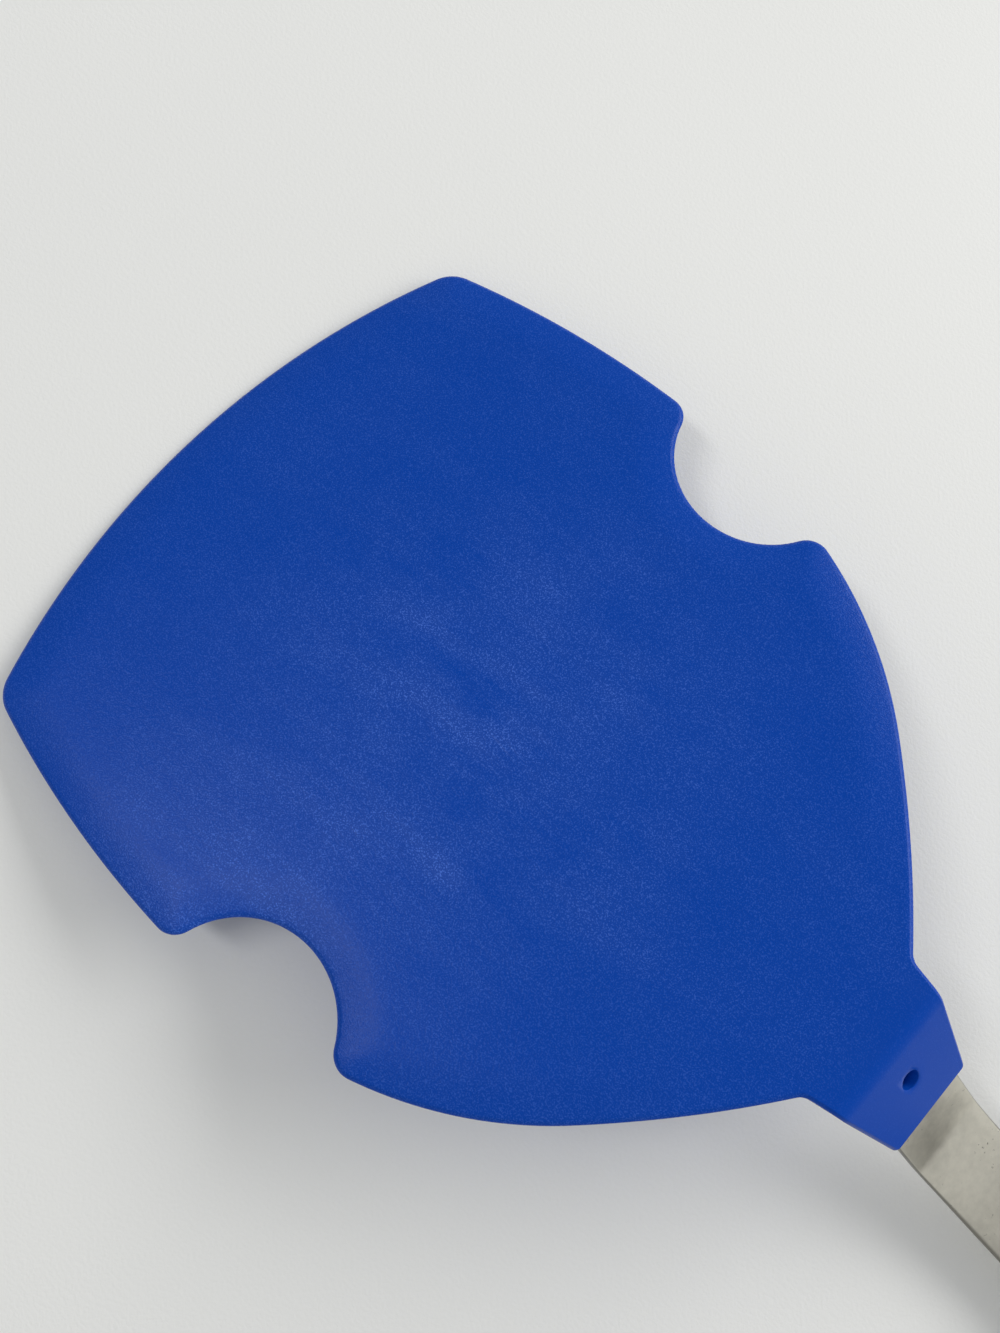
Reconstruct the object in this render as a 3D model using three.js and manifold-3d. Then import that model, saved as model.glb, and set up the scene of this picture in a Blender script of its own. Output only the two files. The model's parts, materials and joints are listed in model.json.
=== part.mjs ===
// A silicone turner: a soft blade moulded over a stiff core, carried by a cranked flat steel bar
// that ends in a riveted two-scale grip. It lies as it rests on a table, blade face up.
import * as THREE from "three";
import { mergeVertices } from "three/addons/utils/BufferGeometryUtils.js";
import Module from "manifold-3d";

// Driving dimensions, in millimetres and degrees.
// u runs along the tool from blade to grip, v runs across it, h stands on the blade's face.
// u = 0 lies on the line through the two side bites.

// Blade outline
const bladeFront = 88;
const bladeHalfWidth = 70;
const frontRadius = 164;
const frontCornerRadius = 7.2;
const sideRadius = 209;
const sideCrown = -18.5;
const biteRadius = 18;
const biteStandOff = 2;
const biteFrontCornerRadius = 4.6;
const biteRearCornerRadius = 4.5;
const shoulderRadius = 84;
const shoulderCentreU = -6.7;
const shoulderCentreV = -14.8;
const shoulderSpan = 44.5;
const flankRadius = 243;
const heelHalfWidth = 14.8;
const heelFilletRadius = 3.2;
const leastCornerRadius = 0.25;
const cornerSoftness = 0.4;

// Blade section
const bladeThickness = 3.2;
const rimThickness = 1.5;
const rimDrop = 0.65;
const rimRun = 0.9;
const bevelWidth = 9;
const bevelFadeStart = 48;
const bevelFadeLength = 26;

// Neck and sleeve, measured along the bent middle plane of the blade
const neckTaper = 11.3;
const neckLead = 3.2;
const neckBendRadius = 3.6;
const sleeveAngle = 45;
const sleeveLength = 20.3;
const sleeveWall = 1.3;
const sleeveCornerRadius = 1.4;

// Stiffening core inside the blade
const coreThickness = 1;
const coreMargin = 11;
const coreNeckMargin = 5.2;
const coreEndMargin = 4;
const lockHoleRadius = 3.2;
const lockHolePitchU = 28;
const lockHolePitchV = 31;
const lockHoleFirstU = -58;
const lockHoleEdge = 6;

// Steel bar
const barWidth = 17;
const barThickness = 2;
const barEdgeRadius = 0.35;
const barRollRadius = 0.9;
const barRollLength = 24;
const tangLead = 0.7;
const tangCornerRadius = 2;
const barStraight = 13;
const crankAngle = 34;
const crankRadius = 16;
const crankStraight = 4;
const sweepRadius = 79;
const barExposed = 66;
const flareLength = 48;

// Silicone peg that locks the tang and the core in the sleeve, with the blind pin hole at its top
const tangPegPlace = 6.4;
const pinHoleRadius = 1.9;
const pinHoleDepth = 3;

// Grip
const gripLength = 115;
const gripFrontWidth = 19.4;
const gripRearWidth = 23;
const gripCornerRadius = 3;
const scaleThickness = 7;
const scaleEdgeRadius = 3.6;
const scaleSeamRadius = 0.5;
const gripRivetRadius = 2.4;
const gripRivetInset = 16;
const gripRivetPitch = 30;
const gripRivetSink = 0.2;
const gripRivetDome = 0.15;
const eyeletBoreRadius = 4;
const eyeletWall = 0.8;
const eyeletFlange = 1.6;
const eyeletSink = 0.2;

// Clearance between neighbouring pieces
const fitGap = 0.3;

// Sizes that follow from the driving dimensions
const degrees = Math.PI / 180;
const halfBlade = bladeThickness / 2;
const halfRim = rimThickness / 2;
const halfCore = coreThickness / 2;
const barHalf = barWidth / 2;
const bendLength = neckBendRadius * sleeveAngle * degrees;
const barTop = -halfCore - fitGap;
const barMiddle = barTop - barThickness / 2;
const sleeveFloor = barTop - barThickness - fitGap - sleeveWall;
const underLead = (-sleeveFloor - halfBlade) / Math.sin(sleeveAngle * degrees);
const gripFrontHalf = gripFrontWidth / 2;
const gripRearRadius = gripRearWidth / 2;
const scaleSeat = barThickness / 2 + fitGap;
const eyeletOuterRadius = eyeletBoreRadius + eyeletWall;

const wasm = await Module();
wasm.setup();

// Plane curves that bound the blade. Each gives a point's depth inside the body and its foot on the curve.
function circle(u, v, radius, side) {
  const centre = new THREE.Vector2(u, v);
  return {
    centre,
    depth: (p) => side * (radius - p.distanceTo(centre)),
    inward: (p) => centre.clone().sub(p).normalize().multiplyScalar(side),
    foot: (p, inset) => p.clone().sub(centre).setLength(radius - side * inset).add(centre),
  };
}

function line(u, v, angle) {
  const start = new THREE.Vector2(u, v);
  const normal = new THREE.Vector2(Math.sin(angle), -Math.cos(angle));
  const depth = (p) => p.clone().sub(start).dot(normal);
  return {
    depth,
    inward: () => normal,
    foot: (p, inset) => p.clone().addScaledVector(normal, inset - depth(p)),
  };
}

// The point at a wanted depth inside each of two curves, by Newton steps from a guess
function pointAtDepths(a, b, depthA, depthB, guess) {
  const p = guess.clone();
  const steps = 30;
  for (let i = 0; i < steps; i++) {
    const na = a.inward(p);
    const nb = b.inward(p);
    const ea = depthA - a.depth(p);
    const eb = depthB - b.depth(p);
    const det = na.x * nb.y - na.y * nb.x;
    p.x += (ea * nb.y - eb * na.y) / det;
    p.y += (eb * na.x - ea * nb.x) / det;
  }
  return p;
}

// A rounded corner between two curves that are set in by insetA and insetB. Deep insets stay soft.
function fillet(a, b, radius, insetA, insetB, guess, side) {
  const inset = Math.max(insetA, insetB);
  const grown = side > 0 ? radius - inset : radius + Math.min(insetA, insetB);
  const reach = side * Math.max(grown, leastCornerRadius, cornerSoftness * inset);
  const centre = pointAtDepths(a, b, insetA + reach, insetB + reach, guess);
  return { centre, from: a.foot(centre, insetA), to: b.foot(centre, insetB) };
}

// Points along an arc, without its first point
function arcPoints(centre, from, to, count) {
  const start = from.clone().sub(centre);
  const sweep = Math.atan2(start.cross(to.clone().sub(centre)), start.dot(to.clone().sub(centre)));
  const points = [];
  for (let i = 1; i <= count; i++) {
    points.push(start.clone().rotateAround(new THREE.Vector2(), (sweep * i) / count).add(centre));
  }
  return points;
}

function linePoints(from, to, count) {
  const points = [];
  for (let i = 1; i <= count; i++) points.push(from.clone().lerp(to, i / count));
  return points;
}

// Bounding curves of one half of the blade, from front to sleeve end
const biteCentreV = bladeHalfWidth + biteStandOff;
const shoulderTurn = new THREE.Vector2(Math.cos(shoulderSpan * degrees), Math.sin(shoulderSpan * degrees));
const shoulderCentre = new THREE.Vector2(shoulderCentreU, shoulderCentreV);
const flankCentre = shoulderCentre.clone().addScaledVector(shoulderTurn, shoulderRadius - flankRadius);
const heelU = flankCentre.x + Math.sqrt(flankRadius ** 2 - (heelHalfWidth - flankCentre.y) ** 2);
const heel = new THREE.Vector2(heelU, heelHalfWidth);
const frontCurve = circle(frontRadius - bladeFront, 0, frontRadius, 1);
const sideCurve = circle(sideCrown, bladeHalfWidth - sideRadius, sideRadius, 1);
const biteCurve = circle(0, biteCentreV, biteRadius, -1);
const shoulderCurve = circle(shoulderCentre.x, shoulderCentre.y, shoulderRadius, 1);
const flankCurve = circle(flankCentre.x, flankCentre.y, flankRadius, 1);
const neckCurve = line(heel.x, heel.y, -neckTaper * degrees);
const frontCorner = new THREE.Vector2(-bladeFront, bladeHalfWidth);
const biteFrontCorner = new THREE.Vector2(-biteRadius, bladeHalfWidth);
const biteRearCorner = new THREE.Vector2(biteRadius, bladeHalfWidth);
const heelFillet = fillet(flankCurve, neckCurve, heelFilletRadius, 0, 0, heel, -1);
const bendStart = heelFillet.to.x + neckLead;
const bendEnd = bendStart + bendLength;
const sleeveEnd = bendStart + sleeveLength;

// Half outline of the blade and its straightened sleeve, set in by a margin on the body, neck and end
function bladeOutline(body, neck, end) {
  const endCurve = line(sleeveEnd, 0, -Math.PI / 2);
  const sleeveTip = new THREE.Vector2(sleeveEnd, heelHalfWidth);
  const a = fillet(frontCurve, sideCurve, frontCornerRadius, body, body, frontCorner, 1);
  const b = fillet(sideCurve, biteCurve, biteFrontCornerRadius, body, body, biteFrontCorner, 1);
  const c = fillet(biteCurve, shoulderCurve, biteRearCornerRadius, body, body, biteRearCorner, 1);
  const n = fillet(flankCurve, neckCurve, heelFilletRadius, body, neck, heel, -1);
  const e = fillet(neckCurve, endCurve, sleeveCornerRadius, neck, end, sleeveTip, 1);
  const shoulderEnd = shoulderCentre.clone().addScaledVector(shoulderTurn, shoulderRadius - body);
  const bendIn = neckPoint(bendStart, neck);
  const bendOut = neckPoint(bendEnd, neck);
  const frontCount = 13;
  const frontSweep = Math.atan2(a.from.y, frontCurve.centre.x - a.from.x);
  const points = [];
  for (let i = 0; i < frontCount; i++) {
    const angle = (frontSweep * (2 * i + 1)) / (2 * frontCount - 1);
    const reach = frontRadius - body;
    points.push(new THREE.Vector2(frontCurve.centre.x - reach * Math.cos(angle), reach * Math.sin(angle)));
  }
  points.push(...arcPoints(a.centre, a.from, a.to, 5));
  points.push(...arcPoints(sideCurve.centre, a.to, b.from, 7));
  points.push(...arcPoints(b.centre, b.from, b.to, 5));
  points.push(...arcPoints(biteCurve.centre, b.to, c.from, 13));
  points.push(...arcPoints(c.centre, c.from, c.to, 5));
  points.push(...arcPoints(shoulderCurve.centre, c.to, shoulderEnd, 7));
  points.push(...arcPoints(flankCurve.centre, shoulderEnd, n.from, 7));
  const flatCount = points.length;
  points.push(...arcPoints(n.centre, n.from, n.to, 5));
  points.push(...linePoints(n.to, bendIn, 1));
  points.push(...linePoints(bendIn, bendOut, 7));
  points.push(...linePoints(bendOut, e.from, 2));
  points.push(...arcPoints(e.centre, e.from, e.to, 4));
  return { points, flatCount };
}

// Point of the tapering neck line at a place along it
function neckPoint(u, inset) {
  const slope = Math.tan(neckTaper * degrees);
  const set = inset / Math.cos(neckTaper * degrees);
  return new THREE.Vector2(u, heel.y - slope * (u - heel.x) - set);
}

// Where a point of the straightened blade lies once the neck is bent down into the sleeve
function bendNeck(u, v, h) {
  const run = u - bendStart;
  if (run <= 0) return new THREE.Vector3(u, v, h);
  const turn = Math.min(run, bendLength) / neckBendRadius;
  const past = Math.max(run - bendLength, 0);
  const reach = neckBendRadius + h;
  const x = bendStart + reach * Math.sin(turn) + past * Math.cos(turn);
  const z = reach * Math.cos(turn) - neckBendRadius - past * Math.sin(turn);
  return new THREE.Vector3(x, v, z);
}

// The underside bends earlier by underLead, which gives the sleeve its depth. Slip keeps the end square.
function bendUnderNeck(u, v, h) {
  const early = bendStart - underLead;
  const slip = underLead * (1 - Math.cos(sleeveAngle * degrees));
  const share = THREE.MathUtils.clamp((u - early) / (sleeveEnd - early), 0, 1);
  return bendNeck(u + underLead - slip * share, v, h).sub(new THREE.Vector3(underLead, 0, 0));
}

function bladeSkin(u, v, h) {
  return h > 0 ? bendNeck(u, v, h) : bendUnderNeck(u, v, h);
}

// Closed body through mirrored rings, listed from top to bottom. Each ring is half an outline with a
// height at every point. The caps are cut flat up to flatCount points and run as rungs after that.
function ringSolid(rings, flatCount, place) {
  const half = rings[0].length;
  const size = 2 * half;
  const positions = [];
  for (const ring of rings) {
    const far = ring.map((p) => place(p.x, p.y, p.z));
    const near = ring.map((p) => place(p.x, -p.y, p.z)).reverse();
    for (const p of [...far, ...near]) positions.push(p.x, p.y, p.z);
  }
  const faces = [];
  for (let r = 0; r + 1 < rings.length; r++) {
    for (let i = 0; i < size; i++) {
      const next = (i + 1) % size;
      const a = r * size + i;
      const b = r * size + next;
      faces.push(b, b + size, a + size, b, a + size, a);
    }
  }
  const last = (rings.length - 1) * size;
  for (const [i, j, k] of capFaces(rings[0], flatCount)) faces.push(i, j, k);
  for (const [i, j, k] of capFaces(rings.at(-1), flatCount)) faces.push(last + k, last + j, last + i);
  const geometry = new THREE.BufferGeometry();
  geometry.setAttribute("position", new THREE.Float32BufferAttribute(positions, 3));
  geometry.setIndex(faces);
  return geometry;
}

// Triangles that close a mirrored ring, facing up
function capFaces(ring, flatCount) {
  const size = 2 * ring.length;
  const faces = [];
  if (flatCount > 1) {
    const far = ring.slice(0, flatCount).map((p) => new THREE.Vector2(p.x, p.y));
    const near = far.map((p) => new THREE.Vector2(p.x, -p.y));
    const contour = [...near, ...far.slice().reverse()];
    const index = (i) => (i < flatCount ? size - 1 - i : 2 * flatCount - 1 - i);
    for (const face of THREE.ShapeUtils.triangulateShape(contour, [])) faces.push(face.map(index));
  }
  for (let i = Math.max(flatCount - 1, 0); i + 1 < ring.length; i++) {
    const near = size - 1 - i;
    faces.push([near, near - 1, i + 1], [near, i + 1, i]);
  }
  return faces;
}

function ringAt(points, height) {
  return points.map((p) => new THREE.Vector3(p.x, p.y, height(p.x)));
}

// Solids for joining and cutting
function solid(geometry) {
  const bare = geometry.clone();
  bare.deleteAttribute("normal");
  bare.deleteAttribute("uv");
  const merged = mergeVertices(bare, 1e-4);
  const vertProperties = merged.getAttribute("position").array;
  const triVerts = new Uint32Array(merged.getIndex().array);
  return new wasm.Manifold(new wasm.Mesh({ numProp: 3, vertProperties, triVerts }));
}

function surface(body) {
  const mesh = body.getMesh();
  const geometry = new THREE.BufferGeometry();
  geometry.setAttribute("position", new THREE.BufferAttribute(new Float32Array(mesh.vertProperties), 3));
  geometry.setIndex(new THREE.BufferAttribute(new Uint32Array(mesh.triVerts), 1));
  const facets = geometry.toNonIndexed();
  facets.computeVertexNormals();
  return facets;
}

function cutFrom(geometry, cutters) {
  return surface(cutters.reduce((body, cutter) => body.subtract(solid(cutter)), solid(geometry)));
}

// Upright round bar between two heights, for holes and pegs
function post(x, y, low, high, radius, sides) {
  const geometry = new THREE.CylinderGeometry(radius, radius, high - low, sides);
  geometry.rotateX(Math.PI / 2);
  geometry.translate(x, y, (low + high) / 2);
  return geometry;
}

// Revolved piece, its axis along z
function turned(profile, sides) {
  const geometry = new THREE.LatheGeometry(profile, sides);
  geometry.rotateX(Math.PI / 2);
  return geometry;
}

// Frame on the sleeve, with its origin in the middle plane and its z along the sleeve's face normal
function onSleeve(geometry, past) {
  const place = bendNeck(bendEnd + past, 0, 0);
  geometry.rotateY(sleeveAngle * degrees);
  geometry.translate(place.x, 0, place.z);
  return geometry;
}

// Silicone blade
function bevelFade(u) {
  return THREE.MathUtils.smoothstep(u, bevelFadeStart, bevelFadeStart + bevelFadeLength);
}

// Rings of the blade's section: a crowned bevel, and a rim that is a soft chamfer on each side
function bladeRings() {
  const soft = 0.4;
  const edge = (u) => THREE.MathUtils.lerp(halfRim, halfBlade, bevelFade(u));
  const crown = 0.65;
  const mid = (u) => THREE.MathUtils.lerp(edge(u), halfBlade, crown);
  const steps = [
    { body: bevelWidth, neck: 3 * rimDrop, height: () => halfBlade },
    { body: bevelWidth / 2, neck: 2 * rimDrop, height: mid },
    { body: rimRun, neck: rimDrop, height: edge },
    { body: rimRun * soft, neck: rimDrop * soft, height: (u) => edge(u) - rimDrop * soft },
    { body: 0, neck: 0, height: (u) => edge(u) - rimDrop },
  ];
  const outlines = steps.map((step) => bladeOutline(step.body, step.neck, step.neck).points);
  const upper = steps.map((step, i) => ringAt(outlines[i], step.height));
  const lower = steps.map((step, i) => ringAt(outlines[i], (u) => -step.height(u)));
  return [...upper, ...lower.reverse()];
}

function blankBlade(rings) {
  return ringSolid(rings, bladeOutline(0, 0, 0).flatCount, bladeSkin);
}

// Places of the holes through which the silicone locks on to the core
function lockHoles() {
  const places = [];
  const room = lockHoleRadius + lockHoleEdge + coreMargin;
  for (let u = lockHoleFirstU; u < bevelFadeStart + bevelFadeLength; u += lockHolePitchU) {
    for (let side = -2; side <= 2; side++) {
      const p = new THREE.Vector2(u, Math.abs(side) * lockHolePitchV);
      const curves = [frontCurve, sideCurve, biteCurve, shoulderCurve, flankCurve];
      if (curves.every((curve) => curve.depth(p) > room)) places.push([u, side * lockHolePitchV]);
    }
  }
  return places;
}

// Core plate grown by a clearance all round, with its lock holes shrunk by the same
function corePlate(grow) {
  const outline = bladeOutline(coreMargin - grow, coreNeckMargin - grow, coreEndMargin - grow);
  const top = ringAt(outline.points, () => halfCore + grow);
  const bottom = ringAt(outline.points, () => -halfCore - grow);
  const plate = ringSolid([top, bottom], outline.flatCount, bendNeck);
  const holeSides = 16;
  const reach = bladeThickness;
  const holes = lockHoles().map(([u, v]) => post(u, v, -reach, reach, lockHoleRadius - grow, holeSides));
  return { plate, holes };
}

function tangPocket() {
  const start = bendEnd + tangLead - fitGap;
  const wide = barHalf + fitGap;
  const corners = [new THREE.Vector2(start, wide), new THREE.Vector2(sleeveEnd + sleeveWall, wide)];
  const top = ringAt(corners, () => barTop + fitGap);
  const bottom = ringAt(corners, () => barTop - barThickness - fitGap);
  return ringSolid([top, bottom], 0, bendNeck);
}

// Round bar square to the sleeve at the tang's peg
function atTangPeg(low, high, radius) {
  return onSleeve(post(0, 0, low, high, radius, 24), tangPegPlace);
}

function siliconeBlade(rings) {
  const core = corePlate(fitGap);
  const hollow = core.holes.reduce((body, hole) => body.subtract(solid(hole)), solid(core.plate));
  const peg = atTangPeg(sleeveFloor, halfBlade, lockHoleRadius - fitGap);
  const pinHole = atTangPeg(halfBlade - pinHoleDepth, bladeThickness, pinHoleRadius);
  const cavity = hollow.add(solid(tangPocket())).subtract(solid(peg)).add(solid(pinHole));
  return surface(solid(blankBlade(rings)).subtract(cavity));
}

function bladeCore() {
  const core = corePlate(0);
  return cutFrom(core.plate, [...core.holes, atTangPeg(-bladeThickness, bladeThickness, lockHoleRadius)]);
}

// Steel bar, measured along its middle plane from the front of its tang
const tangLength = sleeveEnd - bendEnd - tangLead;
const gripStart = tangLength + barExposed;

function barLegs(restTilt) {
  const crankTurn = (sleeveAngle - crankAngle) * degrees;
  const sweepTurn = crankAngle * degrees - restTilt;
  return [
    { length: tangLength + barStraight, turn: 0 },
    { length: crankRadius * crankTurn, turn: crankTurn },
    { length: crankStraight, turn: 0 },
    { length: sweepRadius * sweepTurn, turn: sweepTurn },
    { length: Infinity, turn: 0 },
  ];
}

// Place and slope of the bar's middle plane at a distance along it
function barCourse(s, restTilt) {
  const start = bendNeck(bendEnd + tangLead, 0, barMiddle);
  let x = start.x;
  let z = start.z;
  let slope = sleeveAngle * degrees;
  let left = s;
  for (const leg of barLegs(restTilt)) {
    const run = Math.min(left, leg.length);
    const turn = leg.turn > 0 ? (leg.turn * run) / leg.length : 0;
    const radius = leg.turn > 0 ? leg.length / leg.turn : 0;
    const ahead = leg.turn > 0 ? 0 : run;
    x += radius * (Math.sin(slope) - Math.sin(slope - turn)) + ahead * Math.cos(slope);
    z += radius * (Math.cos(slope) - Math.cos(slope - turn)) - ahead * Math.sin(slope);
    slope -= turn;
    left -= run;
    if (left <= 0) break;
  }
  return { x, z, slope };
}

// Half outline of the grip, from its front edge, shared by the tang and the scales
function gripOutline() {
  const rear = new THREE.Vector2(gripLength - gripRearRadius, 0);
  const widening = Math.asin((gripRearRadius - gripFrontHalf) / (gripLength - gripRearRadius));
  const sideEnd = new THREE.Vector2(-Math.sin(widening), Math.cos(widening))
    .multiplyScalar(gripRearRadius)
    .add(rear);
  const cornerEnd = new THREE.Vector2(gripCornerRadius, gripFrontHalf);
  const corner = new THREE.Vector2(gripCornerRadius, gripFrontHalf - gripCornerRadius);
  const cornerStart = new THREE.Vector2(0, corner.y);
  const tip = new THREE.Vector2(gripLength, 0);
  const rearArc = arcPoints(rear, sideEnd, tip, 12);
  return {
    front: [cornerStart, ...arcPoints(corner, cornerStart, cornerEnd, 4)],
    sides: linePoints(cornerEnd, sideEnd, 2),
    rear: rearArc.slice(0, -1),
    eye: rear.x,
  };
}

function barHalfAt(s) {
  const flare = THREE.MathUtils.smoothstep(s, gripStart - flareLength, gripStart);
  return THREE.MathUtils.lerp(barHalf, gripFrontHalf, flare);
}

// Radius of the bar's long edges: nearly square in the sleeve and the grip, rolled over between them
function barEdgeAt(s) {
  const crankStart = tangLength + barStraight;
  const rise = THREE.MathUtils.smoothstep(s, crankStart, crankStart + barRollLength);
  const fall = THREE.MathUtils.smoothstep(s, gripStart - barRollLength / 2, gripStart);
  return THREE.MathUtils.lerp(barEdgeRadius, barRollRadius, rise - fall);
}

function barOutline(restTilt) {
  const legs = barLegs(restTilt);
  const grip = gripOutline();
  const corner = new THREE.Vector2(tangCornerRadius, barHalf - tangCornerRadius);
  const cornerStart = new THREE.Vector2(0, corner.y);
  const cornerEnd = new THREE.Vector2(tangCornerRadius, barHalf);
  const points = [cornerStart, ...arcPoints(corner, cornerStart, cornerEnd, 4)];
  const legSteps = [1, 3, 1, 12, 6];
  let from = tangCornerRadius;
  let reached = 0;
  legSteps.forEach((steps, leg) => {
    reached = Math.min(reached + legs[leg].length, gripStart);
    for (let i = 1; i <= steps; i++) {
      const s = THREE.MathUtils.lerp(from, reached, i / steps);
      points.push(new THREE.Vector2(s, barHalfAt(s)));
    }
    from = reached;
  });
  for (const p of [...grip.sides, ...grip.rear]) points.push(new THREE.Vector2(gripStart + p.x, p.y));
  return points;
}

// An outline moved inwards along its own normals, for edge rounds narrower than its bends
function shrink(points, insetAt) {
  const mirrored = (p) => new THREE.Vector2(p.x, -p.y);
  return points.map((p, i) => {
    const before = i > 0 ? points[i - 1] : mirrored(p);
    const after = i + 1 < points.length ? points[i + 1] : mirrored(p);
    const a = p.clone().sub(before).normalize();
    const b = after.clone().sub(p).normalize();
    const middle = a.clone().add(b).normalize();
    const spread = insetAt(p.x) / Math.max(middle.dot(a), 0.5);
    return new THREE.Vector2(p.x + middle.y * spread, p.y - middle.x * spread);
  });
}

function steelBar(restTilt) {
  const outline = barOutline(restTilt);
  const soft = 1 - Math.SQRT1_2;
  const face = barThickness / 2;
  const steps = [
    { inset: 1, drop: 0 },
    { inset: soft, drop: soft },
    { inset: 0, drop: 1 },
  ];
  const insets = steps.map((step) => shrink(outline, (s) => step.inset * barEdgeAt(s)));
  const upper = steps.map((step, i) => ringAt(insets[i], (s) => face - step.drop * barEdgeAt(s)));
  const lower = steps.map((step, i) => ringAt(insets[i], (s) => step.drop * barEdgeAt(s) - face));
  const place = (s, v, h) => {
    const at = barCourse(s, restTilt);
    return new THREE.Vector3(at.x + h * Math.sin(at.slope), v, at.z + h * Math.cos(at.slope));
  };
  const blank = ringSolid([...upper, ...lower.reverse()], 0, place);
  const gripHoles = [
    ...gripRivetPlaces().map((x) => post(x, 0, -barThickness, barThickness, gripRivetRadius + fitGap, 24)),
    post(gripOutline().eye, 0, -barThickness, barThickness, eyeletOuterRadius + fitGap, 32),
  ];
  const grip = barCourse(gripStart, restTilt);
  for (const hole of gripHoles) hole.rotateY(grip.slope).translate(grip.x, 0, grip.z);
  return cutFrom(blank, [atTangPeg(sleeveFloor, halfBlade, lockHoleRadius), ...gripHoles]);
}

// Grip pieces, in a frame at the front of the grip with x along it
function gripRivetPlaces() {
  return [0, 1, 2].map((i) => gripRivetInset + i * gripRivetPitch);
}

function scaleBlank() {
  const grip = gripOutline();
  const outline = [...grip.front, ...grip.sides, ...grip.rear];
  const roundSteps = 4;
  const rings = [];
  for (let i = 0; i <= roundSteps; i++) {
    const turn = (Math.PI / 2) * (i / roundSteps);
    const inset = scaleEdgeRadius * (1 - Math.sin(turn));
    const height = scaleThickness - scaleEdgeRadius * (1 - Math.cos(turn));
    rings.push(ringAt(shrink(outline, () => inset), () => height));
  }
  rings.push(ringAt(outline, () => scaleSeamRadius));
  rings.push(ringAt(shrink(outline, () => scaleSeamRadius), () => 0));
  return ringSolid(rings, 0, (x, y, z) => new THREE.Vector3(x, y, z));
}

function gripScale() {
  const eye = gripOutline().eye;
  const through = 2 * scaleThickness;
  const recess = scaleThickness - eyeletSink - eyeletWall - fitGap;
  const flangeRadius = eyeletOuterRadius + eyeletFlange + fitGap;
  const holes = gripRivetPlaces().map((x) => post(x, 0, -through, through, gripRivetRadius + fitGap, 24));
  holes.push(post(eye, 0, -through, through, eyeletOuterRadius + fitGap, 32));
  holes.push(post(eye, 0, recess, through, flangeRadius, 32));
  return cutFrom(scaleBlank(), holes);
}

function gripRivet() {
  const end = scaleSeat + scaleThickness - gripRivetSink;
  const shoulder = end - gripRivetDome;
  const profile = [
    new THREE.Vector2(0, -end),
    new THREE.Vector2(gripRivetRadius / 2, -end),
    new THREE.Vector2(gripRivetRadius, -shoulder),
    new THREE.Vector2(gripRivetRadius, shoulder),
    new THREE.Vector2(gripRivetRadius / 2, end),
    new THREE.Vector2(0, end),
  ];
  return turned(profile, 24);
}

function hangEyelet() {
  const end = scaleSeat + scaleThickness - eyeletSink;
  const flangeRadius = eyeletOuterRadius + eyeletFlange;
  const profile = [
    new THREE.Vector2(eyeletBoreRadius, -end),
    new THREE.Vector2(flangeRadius, -end),
    new THREE.Vector2(flangeRadius, -end + eyeletWall),
    new THREE.Vector2(eyeletOuterRadius, -end + eyeletWall),
    new THREE.Vector2(eyeletOuterRadius, end - eyeletWall),
    new THREE.Vector2(flangeRadius, end - eyeletWall),
    new THREE.Vector2(flangeRadius, end),
    new THREE.Vector2(eyeletBoreRadius, end),
    new THREE.Vector2(eyeletBoreRadius, -end),
  ];
  return turned(profile, 32);
}

// Tilt of the blade at which its front edge and the level grip touch one table
function solveRestTilt(rings) {
  const points = rings.flatMap((ring) => ring.map((p) => bladeSkin(p.x, p.y, p.z)));
  const heightAt = (x, z, tilt) => x * Math.sin(tilt) + z * Math.cos(tilt);
  const overTable = (tilt) => {
    const grip = barCourse(gripStart, tilt);
    const gripLow = heightAt(grip.x, grip.z, tilt) - scaleSeat - scaleThickness;
    return Math.min(...points.map((p) => heightAt(p.x, p.z, tilt))) - gripLow;
  };
  let low = 0;
  let high = crankAngle * degrees;
  const halvings = 50;
  for (let i = 0; i < halvings; i++) {
    const middle = (low + high) / 2;
    if (overTable(middle) > 0) low = middle;
    else high = middle;
  }
  return (low + high) / 2;
}

// Materials
function finish(color, roughness, metalness) {
  return new THREE.MeshStandardMaterial({ color, roughness, metalness });
}

const siliconeBlue = 0x103f9c;
const coreGrey = 0x3a3d42;
const gripBlack = 0x1c1d20;
const steel = 0xb4b0a2;

function piece(name, geometry, material) {
  const mesh = new THREE.Mesh(geometry, material);
  mesh.name = name;
  return mesh;
}

// Assembly
const rings = bladeRings();
const restTilt = solveRestTilt(rings);

const grip = new THREE.Group();
const gripPlace = barCourse(gripStart, restTilt);
grip.position.set(gripPlace.x, 0, gripPlace.z);
grip.rotation.y = gripPlace.slope;
const upperScale = piece("upper_scale", gripScale(), finish(gripBlack, 0.6, 0));
upperScale.position.z = scaleSeat;
const lowerScale = piece("lower_scale", gripScale(), finish(gripBlack, 0.6, 0));
lowerScale.position.z = -scaleSeat;
lowerScale.rotation.x = Math.PI;
grip.add(upperScale, lowerScale);
const rivetNames = ["front_grip_rivet", "middle_grip_rivet", "rear_grip_rivet"];
gripRivetPlaces().forEach((x, i) => {
  const rivet = piece(rivetNames[i], gripRivet(), finish(steel, 0.3, 1));
  rivet.position.x = x;
  grip.add(rivet);
});
const eyelet = piece("hang_eyelet", hangEyelet(), finish(steel, 0.3, 1));
eyelet.position.x = gripOutline().eye;
grip.add(eyelet);

const turner = new THREE.Group();
turner.add(piece("silicone_blade", siliconeBlade(rings), finish(siliconeBlue, 0.55, 0)));
turner.add(piece("blade_core", bladeCore(), finish(coreGrey, 0.7, 0)));
turner.add(piece("steel_shank", steelBar(restTilt), finish(steel, 0.35, 1)));
turner.add(grip);
turner.rotation.y = -restTilt;

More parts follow.
